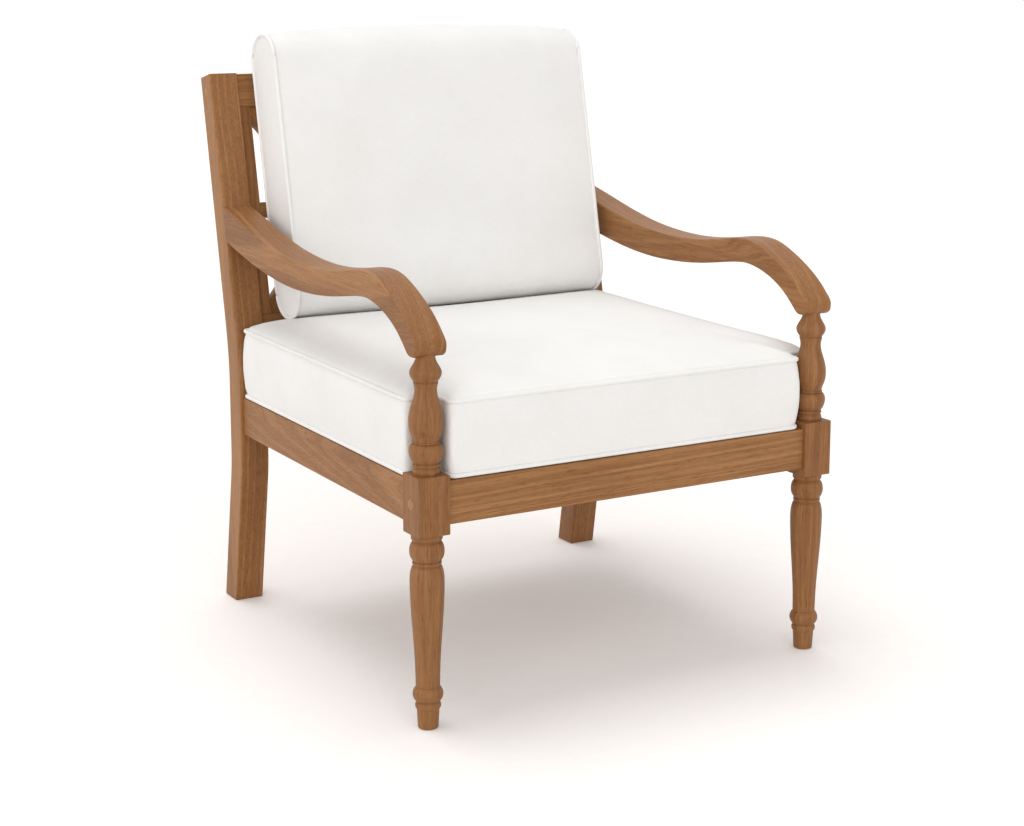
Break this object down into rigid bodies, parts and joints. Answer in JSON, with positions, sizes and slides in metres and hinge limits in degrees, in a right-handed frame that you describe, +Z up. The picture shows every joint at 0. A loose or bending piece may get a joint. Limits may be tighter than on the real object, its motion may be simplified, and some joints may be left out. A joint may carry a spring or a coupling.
{
  "type": "patio armchair",
  "caption": "Teak patio armchair with turned front legs, S-shaped arms, a raked lattice back and loose welted seat and back cushions.",
  "frame": {"origin": "on the floor, midway between the sides and midway between the front and the rear of the chair", "axes": "+Z up, -Y towards the front of the seat, +X to the right as seen from the front"},
  "size_m": [0.698, 0.7649, 0.9378],
  "materials": {
    "teak": "satin oiled",
    "cushion_fabric": "plain woven off-white cover with self piping",
    "stainless": "brushed"
  },
  "bodies": {
    "frame": {"left_front_leg": "teak", "right_front_leg": "teak", "left_back_post": "teak", "right_back_post": "teak", "left_arm": "teak", "right_arm": "teak", "left_side_rail": "teak", "right_side_rail": "teak", "left_back_stile": "teak", "right_back_stile": "teak", "left_seat_cleat": "teak", "right_seat_cleat": "teak", "front_rail": "teak", "back_rail": "teak", "top_rail": "teak", "lower_back_rail": "teak", "mid_back_rail": "teak", "lattice_strut_1": "teak", "lattice_strut_2": "teak", "lattice_strut_3": "teak", "lattice_strut_4": "teak", "lattice_strut_5": "teak", "lattice_strut_6": "teak", "lattice_strut_7": "teak", "lattice_strut_8": "teak", "seat_slat_1": "teak", "seat_slat_2": "teak", "seat_slat_3": "teak", "seat_slat_4": "teak", "seat_slat_5": "teak", "seat_slat_6": "teak", "seat_slat_7": "teak", "seat_slat_8": "teak", "frame_bolts": "stainless", "bolt_plugs": "teak"},
    "seat_cushion": {"seat_cushion": "cushion_fabric"},
    "back_cushion": {"back_cushion": "cushion_fabric"}
  },
  "joints": [
    {"name": "seat_cushion_lift", "type": "slide", "parent": "frame", "child": "seat_cushion", "axis": [0, 0, 1], "range_m": [0, 0.05]},
    {"name": "back_cushion_lift", "type": "slide", "parent": "seat_cushion", "child": "back_cushion", "axis": [0, 0.2113, 0.9774], "range_m": [0, 0.15]}
  ]
}
